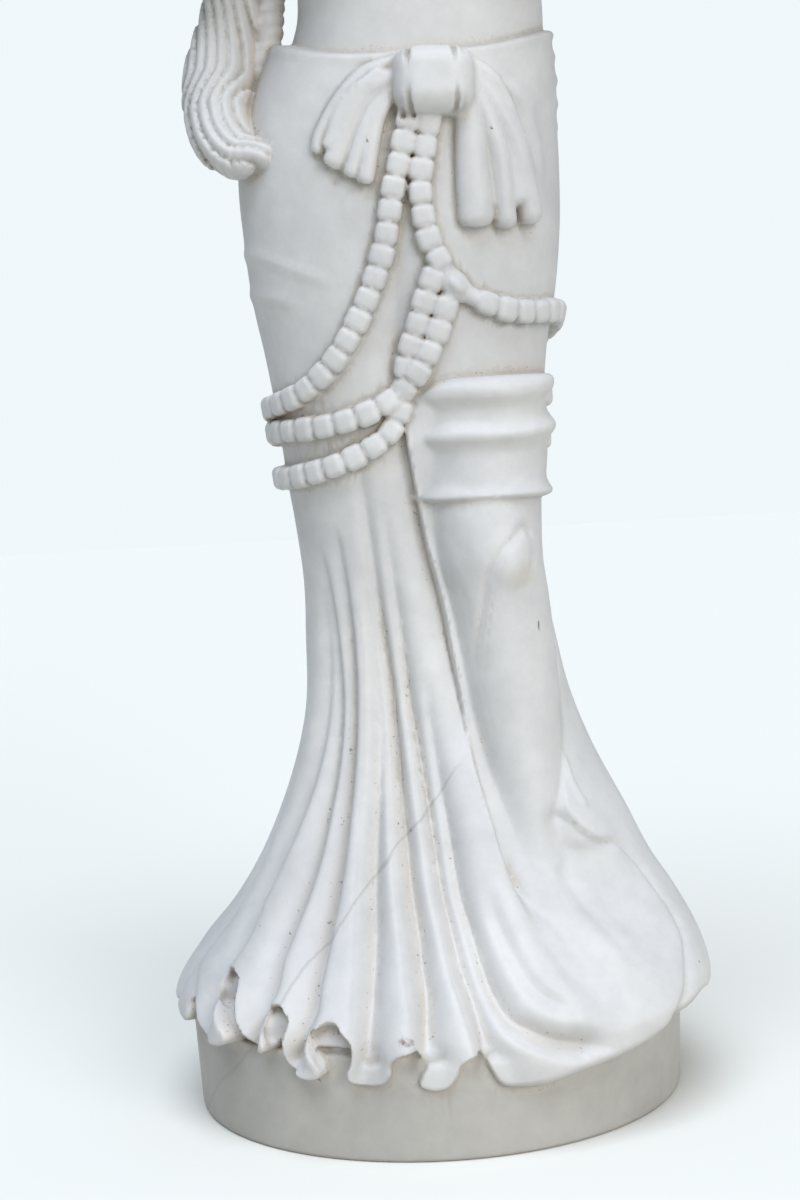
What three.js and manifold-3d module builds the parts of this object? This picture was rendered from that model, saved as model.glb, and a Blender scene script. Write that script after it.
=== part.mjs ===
// A life-size standing woman carved in white marble, in one block with its low round plinth.
// Her skirt is knotted low on the hips, rolled up over the left thigh so that knee and shin are bare, and flares
// into organ-pipe folds that overhang the plinth. Strings of beads loop from the knot round the thighs, and a long
// tress of hair falls down her back to the right hip. The arms are folded before the breast.
// Millimetres, +Z up. She faces -Y, her left side is +X, and the origin is the centre of the plinth's underside.
import * as THREE from "three";
import { mergeVertices } from "three/addons/utils/BufferGeometryUtils.js";
import Module from "manifold-3d";

const wasm = await Module();
wasm.setup();

// ---- Driving dimensions ----
const PLINTH = { height: 100, bottomRadius: 243, topRadius: 247, arris: 4, sides: 44 };
const BEAD = { radius: 12, neck: 9, pitch: 23, sides: 5, proud: 4 };
const KNOT = { centre: [42, -119, 987], halfWidth: 36, radius: 29 };
const BODICE = 6; // thickness of the cloth round the breast
const HEM_DEPTH = 24; // how far the hem is undercut
const THIGH = { x: 70, y: -46, halfWidth: 63, halfDepth: 62 };

// Outer body of the skirt: height, left, right, front and back edge.
const SKIRT = [
  [60, -244, 256, -250, 244],
  [90, -255, 266, -256, 256],
  [115, -259, 272, -256, 262],
  [150, -240, 263, -232, 245],
  [190, -207, 243, -199, 217],
  [230, -180, 219, -172, 192],
  [280, -155, 197, -146, 166],
  [340, -133, 170, -120, 138],
  [400, -119, 150, -104, 116],
  [520, -110, 128, -95, 94],
  [620, -120, 133, -100, 88],
  [740, -134, 144, -108, 98],
  [860, -149, 163, -115, 124],
  [915, -151, 165, -116, 130],
  [960, -146, 165, -114, 126],
  [1000, -132, 166, -111, 113],
  [1050, -108, 163, -103, 94],
];

// Bare torso, in the same order.
const TORSO = [
  [980, -118, 152, -100, 96],
  [1060, -86, 156, -95, 80],
  [1100, -82, 154, -90, 74],
  [1140, -82, 148, -88, 74],
  [1190, -92, 144, -92, 82],
  [1240, -104, 142, -96, 92],
  [1290, -112, 142, -98, 98],
  [1340, -122, 148, -92, 100],
  [1375, -124, 146, -80, 96],
  [1400, -104, 124, -68, 88],
  [1422, -72, 92, -56, 76],
  [1442, -46, 62, -44, 64],
];

// Bare left leg: height, centre x, centre y, half width, half depth.
const LEG = [
  [215, 106, -112, 24, 32],
  [250, 100, -92, 31, 38],
  [300, 97, -78, 39, 44],
  [350, 92, -68, 45, 50],
  [400, 88, -62, 49, 55],
  [500, 79, -62, 51, 58],
  [540, 73, -64, 53, 60],
  [600, 69, -55, 59, 62],
  [660, 68, -48, 62, 64],
];

// Cloth rolled up round the left thigh: height, and how far it stands out.
const ROLL = [
  [597, 5],
  [601, 13],
  [614, 6],
  [640, 4],
  [652, 11],
  [660, 13],
  [669, 6],
  [683, 5],
  [695, 12],
  [706, 12],
  [716, 1],
];

// Angles are degrees round from the front, positive to her left.
// Edge of the skirt beside the bare leg, and the crease where the cloth behind the leg starts: height, angle.
const SLIT = [
  [90, 30],
  [150, 26],
  [223, 20.7],
  [312, 15.7],
  [406, 13.5],
  [502, 9],
  [551, 4],
  [600, 0],
  [658, -4.5],
];
const CREASE = [
  [90, 52],
  [142, 63],
  [172, 71],
  [214, 69],
  [251, 57],
  [284, 48],
  [348, 55],
  [394, 66],
  [449, 79],
  [529, 86],
];

// Valleys between the folds: angle at the hem, angle where the fold dies out, that height, depth at the hem.
const FRONT_VALLEYS = [
  [-62, -60, 560, 15],
  [-43, -57, 540, 20],
  [-29.5, -47, 560, 22],
  [-16, -37, 470, 22],
  [-3.5, -33, 640, 24],
  [8.5, -22, 580, 22],
  [19, -7, 440, 20],
];
const BACK_FOLDS = 11;
const BACK_VALLEYS = Array.from({ length: BACK_FOLDS }, (_, i) => {
  const angle = 102 + (196 / BACK_FOLDS) * i;
  return [angle, angle, 400 + 50 * (i % 2), 13];
});

// Hem: angle, height of the lips that hang between the folds, and rise of the arch under each fold.
const HEM = [
  [-180, 97, 12],
  [-70, 99, 20],
  [-51, 101, 48],
  [-27, 85, 36],
  [-16, 75, 26],
  [-3, 70, 22],
  [12, 69, 18],
  [23, 80, 0],
  [32, 90, 0],
  [57, 104, 0],
  [100, 98, 10],
  [180, 97, 12],
];
const HEM_HEIGHT = 100; // height at which the hem's angles hold

// ---- Small mathematics ----
const rad = THREE.MathUtils.degToRad;
const clamp01 = (t) => Math.min(1, Math.max(0, t));
const turn = (d) => ((((d + 180) % 360) + 360) % 360) - 180;
const bell = (v, middle, width) => Math.exp(-(((v - middle) / width) ** 2));
const ease = (a, b, v) => {
  const t = clamp01((v - a) / (b - a));
  return t * t * (3 - 2 * t);
};

// Smooth curve through the rows of a table, whose first column is the variable.
function sample(table, at) {
  const last = table.length - 1;
  let i = 0;
  while (i < last - 1 && table[i + 1][0] < at) i++;
  const span = table[i + 1][0] - table[i][0];
  const t = clamp01((at - table[i][0]) / span);
  const slope = (k, c) => {
    const a = table[Math.max(0, k - 1)];
    const b = table[Math.min(last, k + 1)];
    return (b[c] - a[c]) / (b[0] - a[0]);
  };
  return table[i].slice(1).map((p, k) => {
    const c = k + 1;
    const q = table[i + 1][c];
    const bend = (t ** 3 - 2 * t ** 2 + t) * slope(i, c) + (t ** 3 - t ** 2) * slope(i + 1, c);
    return (2 * t ** 3 - 3 * t ** 2 + 1) * p + (3 * t ** 2 - 2 * t ** 3) * q + bend * span;
  });
}

// Radius of a rounded section given by its four edges.
function sectionRadius([left, right, front, back], degrees) {
  const depth = Math.abs(degrees) < 90 ? -front : back;
  const power = 2.25;
  const across = Math.abs(Math.sin(rad(degrees)) / ((right - left) / 2)) ** power;
  const along = Math.abs(Math.cos(rad(degrees)) / depth) ** power;
  return (across + along) ** (-1 / power);
}

// ---- The skirt's surface ----
const slitAt = (z) => sample(SLIT, z)[0];
const creaseAt = (z) => sample(CREASE, z)[0];
function valleyAt([hem, top, dies], z) {
  const t = clamp01((z - HEM_HEIGHT) / (dies - HEM_HEIGHT));
  return hem + (top - hem) * Math.sin((t * Math.PI) / 2);
}
const valleyDepth = ([, , dies, depth], z) => depth * clamp01((dies - z) / (dies - HEM_HEIGHT)) ** 1.1;

function skirtRadius(degrees, z) {
  const angle = turn(degrees);
  const radius = sectionRadius(sample(SKIRT, z), angle);
  let dent = -5 * ease(420, 200, z);
  for (const valley of [...FRONT_VALLEYS, ...BACK_VALLEYS]) {
    const away = Math.abs(rad(turn(angle - valleyAt(valley, z)))) * radius;
    dent += valleyDepth(valley, z) * Math.exp(-away / 9);
  }
  // between the thighs
  dent += 22 * ease(900, 620, z) * ease(330, 480, z) * bell(angle, -3, 13);
  // recess that the bare leg stands in, from the slit to the crease
  const inside = ease(-1, 3, angle - slitAt(z)) * ease(-2, 2, creaseAt(z) - angle);
  dent += 28 * inside * ease(690, 630, z) * ease(170, 270, z);
  // dish beside the foot, and the cloth over the instep
  dent += 16 * inside * bell(z, 190, 60);
  dent -= 15 * bell(z, 175, 46) * bell(angle, 33 + (215 - z) * 0.19, 8);
  return radius - dent;
}

function skirtPoint(degrees, z, out = 0) {
  const [left, right] = sample(SKIRT, z);
  const r = skirtRadius(degrees, z) + out;
  return new THREE.Vector3((left + right) / 2 + r * Math.sin(rad(degrees)), -r * Math.cos(rad(degrees)), z);
}

// ---- Solids from rings and tubes ----
// Triangles between two rings: corner to corner where they match, and otherwise by the shorter diagonal.
function stitch(low, high, lowStart, highStart) {
  const index = [];
  let i = 0;
  let j = 0;
  const shorterLow = () => {
    const stepLow = low[(i + 1) % low.length].distanceTo(high[j % high.length]);
    const stepHigh = high[(j + 1) % high.length].distanceTo(low[i % low.length]);
    return j >= high.length || (i < low.length && stepLow <= stepHigh);
  };
  while (i < low.length || j < high.length) {
    const a = lowStart + (i % low.length);
    const b = highStart + (j % high.length);
    const alongLow = low.length === high.length ? i <= j : shorterLow();
    if (alongLow) index.push(a, lowStart + (++i % low.length), b);
    else index.push(a, highStart + (++j % high.length), b);
  }
  return index;
}

// Closed surface through rings, with a fan over each end.
function loft(rings) {
  const points = rings.flat();
  const index = [];
  let start = 0;
  rings.slice(0, -1).forEach((ring, k) => {
    index.push(...stitch(ring, rings[k + 1], start, start + ring.length));
    start += ring.length;
  });
  const fan = (ring, from, upward) => {
    const middle = ring.reduce((sum, p) => sum.add(p), new THREE.Vector3()).divideScalar(ring.length);
    points.push(middle);
    ring.forEach((_, i) => {
      const pair = [from + i, from + ((i + 1) % ring.length)];
      index.push(...(upward ? pair : pair.reverse()), points.length - 1);
    });
  };
  fan(rings[0], 0, false);
  fan(rings[rings.length - 1], start, true);
  return new THREE.BufferGeometry().setFromPoints(points).setIndex(index);
}

// Ring round a point from two axes.
function ellipse(centre, wide, thin, sides, flute = 0) {
  return Array.from({ length: sides }, (_, i) => {
    const a = (i / sides) * 2 * Math.PI;
    const size = i % 2 ? 1 - flute : 1;
    return centre
      .clone()
      .addScaledVector(wide, Math.cos(a) * size)
      .addScaledVector(thin, Math.sin(a) * size);
  });
}

// Tube along a smooth path: each station is x, y, z, half width, half thickness; across is the wide direction.
function tube(stations, { sides = 10, steps = stations.length * 2, across = [0, 0, 1], flute = 0 } = {}) {
  const path = new THREE.CatmullRomCurve3(stations.map((s) => new THREE.Vector3(...s)), false, "centripetal");
  const sizes = stations.map((s, i) => [i / (stations.length - 1), s[3], s[4] ?? s[3]]);
  const rings = [];
  for (let k = 0; k <= steps; k++) {
    const along = path.getTangent(k / steps);
    const wide = new THREE.Vector3(...across);
    wide.addScaledVector(along, -wide.dot(along)).normalize();
    const thin = new THREE.Vector3().crossVectors(along, wide);
    const [w, h] = sample(sizes, k / steps);
    rings.push(ellipse(path.getPoint(k / steps), wide.multiplyScalar(w), thin.multiplyScalar(h), sides, flute));
  }
  return loft(rings);
}

// Upright stack of ellipses: each row is height, centre x, centre y, half width, half depth.
function stack(rows, sides) {
  const wide = new THREE.Vector3(1, 0, 0);
  const deep = new THREE.Vector3(0, 1, 0);
  return loft(
    rows.map(([z, x, y, w, d]) =>
      ellipse(new THREE.Vector3(x, y, z), wide.clone().multiplyScalar(w), deep.clone().multiplyScalar(d), sides),
    ),
  );
}

const ball = (centre, half, sides = 12) =>
  new THREE.SphereGeometry(1, sides, Math.round(sides * 0.7)).scale(...half).translate(...centre);

// ---- Parts of the carving ----
function plinth() {
  const { height, bottomRadius, topRadius, arris, sides } = PLINTH;
  const outline = [
    [0, 0],
    [bottomRadius - arris, 0],
    [bottomRadius, arris],
    [topRadius, height],
    [0, height],
  ];
  return new THREE.LatheGeometry(outline.map((p) => new THREE.Vector2(...p)), sides).rotateX(Math.PI / 2);
}

// Lines of the skirt's mesh run down its valleys, ridges and edges, so that few faces carry the folds.
function skirtLines() {
  const valley = (v) => (z) => valleyAt(v, z);
  const between = (a, b, count) =>
    Array.from({ length: count }, (_, k) => ({
      at: (z) => a(z) + ((b(z) - a(z)) * k) / count,
      arch: Math.sin((k / count) * Math.PI),
    }));
  const edges = [
    ...FRONT_VALLEYS.map((v) => [valley(v), 5]),
    [(z) => slitAt(z) - 1.5, 1],
    [(z) => slitAt(z) + 3.5, 3],
    [(z) => creaseAt(z) - 2.5, 1],
    [(z) => creaseAt(z) + 2.5, 2],
    ...BACK_VALLEYS.map((v) => [valley(v), 2]),
  ];
  edges[FRONT_VALLEYS.length - 1][1] = 2;
  return edges.flatMap(([from, count], i) => {
    const to = i + 1 < edges.length ? edges[i + 1][0] : (z) => edges[0][0](z) + 360;
    return between(from, to, count);
  });
}

function skirt() {
  const lines = skirtLines();
  const low = 240; // the rings below this height follow the hem
  const folded = [low, 310, 390, 490, 600];
  const smooth = [670, 750, 830, 900, 960];
  const around = Array.from({ length: 24 }, (_, i) => FRONT_VALLEYS[0][1] + 15 * i);
  const hem = lines.map(({ at, arch }) => {
    const [lip, rise] = sample(HEM, turn(at(HEM_HEIGHT)));
    return lip + rise * arch;
  });
  const rings = [0, 0.14, 0.5].map((share) =>
    lines.map(({ at }, i) => {
      const z = hem[i] + (low - hem[i]) * share;
      return skirtPoint(at(Math.max(z, HEM_HEIGHT)), z);
    }),
  );
  const under = lines.map(({ at }, i) => skirtPoint(at(HEM_HEIGHT), hem[i] + 4, -HEM_DEPTH));
  const inner = lines.map(({ at }) => skirtPoint(at(HEM_HEIGHT), PLINTH.height - 2, -3 * HEM_DEPTH));
  const waist = around.map((degrees) => skirtPoint(degrees, 1020 + 26 * Math.sin(rad(degrees)) ** 4));
  return loft([
    inner,
    under,
    ...rings,
    ...folded.map((z) => lines.map(({ at }) => skirtPoint(at(z), z))),
    ...smooth.map((z) => around.map((degrees) => skirtPoint(degrees, z))),
    waist,
  ]);
}

// Torso, or the cloth over it, as rings at the heights given.
function torso(heights, out = 0, sides = 20) {
  return loft(
    heights.map((z) => {
      const [left, right, front, back] = sample(TORSO, z);
      return Array.from({ length: sides }, (_, i) => {
        const degrees = (i / sides) * 360 - 180;
        const breast = 38 * bell(z, 1266, 40) * (bell(degrees, -36, 20) + bell(degrees, 36, 20));
        const spine = 9 * bell(Math.abs(degrees), 180, 12) * ease(1420, 1340, z);
        const r = sectionRadius([left, right, front, back], degrees) + breast - spine + out;
        return new THREE.Vector3((left + right) / 2 + r * Math.sin(rad(degrees)), -r * Math.cos(rad(degrees)), z);
      });
    }),
  );
}

const thighRoll = () =>
  stack(
    ROLL.map(([z, out]) => [z, THIGH.x, THIGH.y, THIGH.halfWidth + out, THIGH.halfDepth + out]),
    20,
  );

// Beads along a route over the skirt; where the route is plain, the string is a smooth cord.
function beadString(route, plain = false) {
  const line = new THREE.CatmullRomCurve3(
    route.map(([degrees, z]) => skirtPoint(degrees, z, BEAD.proud)),
    false,
    "centripetal",
  );
  const steps = plain ? Math.round(line.getLength() / 66) : 2 * Math.round(line.getLength() / BEAD.pitch);
  const rings = [];
  for (let k = 0; k <= steps; k++) {
    const centre = line.getPointAt(k / steps);
    const along = line.getTangentAt(k / steps);
    const outward = new THREE.Vector3(centre.x, centre.y, 0).normalize();
    outward.addScaledVector(along, -outward.dot(along)).normalize();
    const side = new THREE.Vector3().crossVectors(along, outward);
    const size = plain || k % 2 ? BEAD.radius : BEAD.neck;
    rings.push(ellipse(centre, outward.multiplyScalar(size), side.multiplyScalar(size), BEAD.sides));
  }
  return loft(rings);
}

// Routes of the strings, as angle and height: in front with beads, behind as a cord.
const BEADED = [
  [[5, 962], [0, 915], [-7, 862], [-17, 795], [-36, 734], [-62, 702], [-90, 692]],
  [[15, 962], [11.5, 926], [9, 880], [12, 845], [19, 815], [29, 791], [42, 779], [56, 774], [90, 773]],
  [[14, 816], [7, 777], [0, 735], [-3, 710], [-12, 668], [-34, 642], [-62, 628], [-90, 625]],
  [[20, 787], [12, 746], [0, 711], [-17, 690], [-44, 675], [-70, 671], [-90, 669]],
];
const CORDED = [
  [[-88, 692], [-130, 688], [180, 702], [130, 736], [88, 773]],
  [[-88, 625], [-130, 622], [180, 628], [130, 642], [96, 652]],
  [[-88, 669], [-130, 664], [180, 670], [130, 686], [96, 694]],
];
const MEDALLION = [23.4, 800]; // oval on the second string

function knot() {
  const [x, y, z] = KNOT.centre;
  const w = KNOT.halfWidth;
  const r = KNOT.radius;
  const stations = [
    [x - w, y, z + 5, r * 0.86, r * 0.6],
    [x - w * 0.5, y - 4, z + 3, r, r * 0.8],
    [x + w * 0.5, y - 4, z - 2, r, r * 0.8],
    [x + w, y, z - 3, r * 0.9, r * 0.6],
  ];
  return tube(stations, { sides: 12, steps: 6 });
}

// The ends of the knotted cloth hang as pleats: start, bend, end as angle and height, then half width at the end.
const PLEATS = [
  [[-5, 1000], [-20, 985], [-33, 936], 8],
  [[-4, 990], [-14, 972], [-26, 920], 14],
  [[-4, 982], [-9, 962], [-17, 905], 12],
  [[28, 985], [30, 940], [32, 862], 17],
  [[29, 992], [39, 955], [45, 859], 12],
  [[29, 1003], [48, 955], [55, 864], 14],
];
function pleat([from, bend, to, width]) {
  const station = ([degrees, z], w, h) => [...skirtPoint(degrees, z, 4).toArray(), w, h];
  const stations = [station(from, width * 0.8, 10), station(bend, width * 0.8, 12), station(to, width, 14)];
  return tube(stations, { sides: 6, steps: 4, across: [1, 0.2, 0.3] });
}

// Long tress, from the nape down the back and round to the right hip.
const TRESS = [
  [8, 86, 1560, 44, 30],
  [2, 108, 1480, 68, 34],
  [-26, 122, 1400, 78, 34],
  [-70, 122, 1310, 72, 34],
  [-112, 94, 1225, 58, 33],
  [-134, 52, 1150, 46, 32],
  [-142, 14, 1085, 40, 32],
  [-158, -14, 1020, 44, 34],
  [-160, -36, 966, 42, 32],
  [-148, -56, 938, 34, 26],
  [-120, -74, 932, 15, 12],
];

const ARMS = [
  // right arm, its hand below the collarbone
  [[-92, 10, 1384, 32], [-138, 6, 1366, 46], [-170, -16, 1284, 41], [-198, -36, 1174, 37], [-184, -56, 1168, 38],
    [-108, -112, 1222, 36], [-20, -148, 1290, 25]],
  // left arm, folded under the breast
  [[112, 10, 1384, 32], [158, 6, 1366, 46], [190, -16, 1284, 41], [214, -34, 1172, 37], [200, -52, 1162, 38],
    [122, -100, 1164, 36], [30, -122, 1180, 25]],
];
const HANDS = [
  [[-28, -146, 1284, 24, 16], [12, -142, 1320, 33, 15], [46, -124, 1354, 30, 12], [66, -106, 1376, 20, 8]],
  [[38, -122, 1178, 24, 16], [-10, -126, 1188, 32, 15], [-54, -116, 1200, 30, 12], [-84, -98, 1208, 20, 8]],
];

// Height, centre x, centre y, half width, half depth of the head from under the chin to the crown.
const HEAD = [
  [1503, 8, -66, 16, 14],
  [1512, 8, -58, 32, 30],
  [1550, 8, -26, 60, 66],
  [1580, 8, -10, 69, 83],
  [1612, 8, -4, 74, 93],
  [1645, 8, -2, 75, 94],
  [1678, 8, 2, 66, 84],
  [1700, 8, 5, 46, 60],
  [1712, 8, 6, 20, 26],
];
const NECK = [
  [1400, 8, 14, 74, 62],
  [1440, 8, 10, 55, 54],
  [1490, 8, 6, 50, 51],
  [1545, 8, 2, 50, 52],
];
const NOSE = [
  [8, -92, 1632, 8, 8],
  [8, -104, 1596, 11, 11],
  [8, -98, 1584, 12, 8],
];
const HAIR = [
  [1560, 8, 44, 62, 48],
  [1585, 8, 26, 80, 70],
  [1620, 8, 16, 87, 88],
  [1655, 8, 6, 88, 98],
  [1690, 8, 6, 74, 86],
  [1712, 8, 8, 46, 54],
  [1720, 8, 8, 20, 24],
];
const BUN = { centre: [8, 100, 1600], half: [44, 32, 44] };

// ---- The one block of marble ----
const geometries = [
  plinth(),
  skirt(),
  torso([970, 1060, 1110, 1160, 1200, 1232, 1266, 1300, 1340, 1378, 1404, 1424, 1442]),
  torso([1210, 1236, 1268, 1298, 1322], BODICE),
  stack(LEG, 14),
  ball([94, -112, 546], [23, 14, 30], 10), // kneecap
  thighRoll(),
  ...BEADED.map((route) => beadString(route)),
  ...CORDED.map((route) => beadString(route, true)),
  ball(skirtPoint(...MEDALLION, 6).toArray(), [17, 9, 18], 10),
  knot(),
  ...PLEATS.map(pleat),
  tube(TRESS, { sides: 12, steps: 15, across: [1, 0, 0.7], flute: 0.12 }),
  ...ARMS.map((arm) => tube(arm, { sides: 8, steps: 11, across: [0, 1, 0] })),
  ...HANDS.map((hand) => tube(hand, { sides: 7, steps: 4 })),
  stack(HEAD, 16),
  stack(NECK, 14),
  stack(HAIR, 16),
  tube(NOSE, { sides: 6, steps: 2, across: [1, 0, 0] }),
  ball(BUN.centre, BUN.half, 12),
];

// Closed geometry to a solid, turned right side out.
function solid(geometry) {
  const bare = geometry.clone();
  bare.deleteAttribute("normal");
  bare.deleteAttribute("uv");
  const merged = mergeVertices(bare, 1e-4);
  const triVerts = new Uint32Array(merged.index.array);
  const vertProperties = new Float32Array(merged.attributes.position.array);
  const made = new wasm.Manifold(new wasm.Mesh({ numProp: 3, vertProperties, triVerts }));
  if (made.volume() >= 0) return made;
  return new wasm.Manifold(new wasm.Mesh({ numProp: 3, vertProperties, triVerts: triVerts.reverse() }));
}

// Only the outer skin is kept, so that no hollow is left sealed where parts overlap.
const joined = geometries.map(solid).reduce((whole, piece) => whole.add(piece));
const block = joined.decompose().reduce((best, skin) => (skin.volume() > best.volume() ? skin : best));

function geometryOf(made) {
  const { numProp, numVert, vertProperties, triVerts } = made.getMesh();
  const position = new Float32Array(numVert * 3);
  for (let i = 0; i < numVert; i++) position.set(vertProperties.subarray(i * numProp, i * numProp + 3), i * 3);
  return new THREE.BufferGeometry()
    .setAttribute("position", new THREE.BufferAttribute(position, 3))
    .setIndex(new THREE.BufferAttribute(triVerts, 1));
}

const marble = new THREE.MeshStandardMaterial({ color: 0xe4e0d8, roughness: 0.5, metalness: 0 });
const statue = new THREE.Mesh(geometryOf(block), marble);
statue.name = "statue";

const group = new THREE.Group();
group.name = "draped_woman";
group.add(statue);
export default group;
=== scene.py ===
"""A draped woman carved in white marble on a round plinth: the fine surface over the CAD block, its stone, the floor
and the light."""

import math

import bpy
import numpy as np
from mathutils import Euler, Matrix, Vector


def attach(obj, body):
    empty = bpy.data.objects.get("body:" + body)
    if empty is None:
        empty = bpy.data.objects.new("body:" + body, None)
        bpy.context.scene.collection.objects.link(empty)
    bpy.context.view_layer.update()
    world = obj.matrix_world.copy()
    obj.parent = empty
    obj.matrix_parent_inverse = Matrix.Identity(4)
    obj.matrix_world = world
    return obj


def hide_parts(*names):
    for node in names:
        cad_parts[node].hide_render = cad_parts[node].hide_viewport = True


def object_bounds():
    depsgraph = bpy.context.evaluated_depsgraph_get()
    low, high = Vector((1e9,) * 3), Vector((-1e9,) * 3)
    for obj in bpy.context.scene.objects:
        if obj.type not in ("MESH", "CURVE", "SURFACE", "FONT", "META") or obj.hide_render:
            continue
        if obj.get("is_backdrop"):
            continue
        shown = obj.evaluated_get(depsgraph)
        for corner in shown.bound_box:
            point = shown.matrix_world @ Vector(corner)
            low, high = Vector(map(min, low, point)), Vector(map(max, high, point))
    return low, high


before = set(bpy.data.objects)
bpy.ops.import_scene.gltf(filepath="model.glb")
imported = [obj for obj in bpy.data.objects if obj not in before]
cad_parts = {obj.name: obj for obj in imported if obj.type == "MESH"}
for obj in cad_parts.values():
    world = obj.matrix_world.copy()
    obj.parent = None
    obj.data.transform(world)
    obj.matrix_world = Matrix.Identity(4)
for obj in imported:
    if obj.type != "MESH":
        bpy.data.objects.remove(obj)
cad_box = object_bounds()

# The carving is modelled as a distance field in millimetres, in the CAD frame, and then turned into a mesh.
PITCH = 2.0
LOW = np.array([-284.0, -282.0, -9.0])
HIGH = np.array([296.0, 286.0, 1734.0])
xs, ys, zs = (np.arange(LOW[i], HIGH[i] + PITCH, PITCH) for i in range(3))
field = np.full((len(zs), len(ys), len(xs)), 40.0, np.float32)
TRIANGLES = 192_000


# ---------------------------------------------------------------- mathematics
def curve(table, at):
    """Smooth curve through a table's rows, whose first column is the variable."""
    rows = np.asarray(table, float)
    x, y = rows[:, 0], rows[:, 1:]
    slope = np.empty_like(y)
    slope[1:-1] = (y[2:] - y[:-2]) / (x[2:] - x[:-2])[:, None]
    slope[0] = (y[1] - y[0]) / (x[1] - x[0])
    slope[-1] = (y[-1] - y[-2]) / (x[-1] - x[-2])
    at = np.clip(at, x[0], x[-1])
    i = np.clip(np.searchsorted(x, at, side="right") - 1, 0, len(x) - 2)
    span = (x[i + 1] - x[i])[..., None]
    t = (at - x[i])[..., None] / span
    bend = (t**3 - 2 * t**2 + t) * slope[i] + (t**3 - t**2) * slope[i + 1]
    return (2 * t**3 - 3 * t**2 + 1) * y[i] + (3 * t**2 - 2 * t**3) * y[i + 1] + bend * span


def through(points, count):
    """Smooth curve through points, sampled at a number of even steps of their index."""
    rows = np.asarray(points, float)
    return curve(np.column_stack([np.arange(len(rows)), rows]), np.linspace(0, len(rows) - 1, count))


def ease(a, b, v):
    t = np.clip((v - a) / (b - a), 0, 1)
    return t * t * (3 - 2 * t)


def bell(v, middle, width):
    return np.exp(-(((v - middle) / width) ** 2))


def turn(degrees):
    return (np.asarray(degrees) + 180) % 360 - 180


def path(points, steps):
    """Smooth path through points (rows of x, y, z and anything else), sampled evenly between them."""
    rows = np.asarray(points, float)
    gaps = np.sqrt(np.linalg.norm(np.diff(rows[:, :3], axis=0), axis=1))
    table = np.column_stack([np.r_[0, np.cumsum(gaps)], rows])
    return curve(table, np.linspace(0, table[-1, 0], steps + 1))


# ---------------------------------------------------------------- the field
def window(low, high):
    cuts = []
    for line, a, b in zip((xs, ys, zs), low, high):
        i, j = np.searchsorted(line, [a, b])
        cuts.append(slice(max(i - 1, 0), min(j + 1, len(line))))
    part = (cuts[2], cuts[1], cuts[0])
    return part, xs[cuts[0]][None, None, :], ys[cuts[1]][None, :, None], zs[cuts[2]][:, None, None]


def blend(old, new, k):
    """Union of two distances with a fillet of about k."""
    h = np.clip(0.5 + 0.5 * (old - new) / k, 0, 1)
    return old + (new - old) * h - k * h * (1 - h)


def join(part, d, k):
    field[part] = blend(field[part], d.astype(np.float32), k)


def cut(part, d, k):
    field[part] = -blend(-field[part], d.astype(np.float32), k)


def both(a, b, k):
    """Intersection with a rounded edge."""
    return -blend(-a, -b, k)


def ellipsoid(centre, half, k=4.0, axes=None, remove=False):
    centre, half = np.asarray(centre, float), np.asarray(half, float)
    reach = half.max() + 3 * k + PITCH
    part, X, Y, Z = window(centre - reach, centre + reach)
    d = [X - centre[0], Y - centre[1], Z - centre[2]]
    if axes is not None:
        d = [d[0] * a[0] + d[1] * a[1] + d[2] * a[2] for a in axes]
    k0 = np.sqrt((d[0] / half[0]) ** 2 + (d[1] / half[1]) ** 2 + (d[2] / half[2]) ** 2) + 1e-6
    k1 = np.sqrt((d[0] / half[0] ** 2) ** 2 + (d[1] / half[1] ** 2) ** 2 + (d[2] / half[2] ** 2) ** 2) + 1e-9
    (cut if remove else join)(part, k0 * (k0 - 1) / k1, k)


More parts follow.
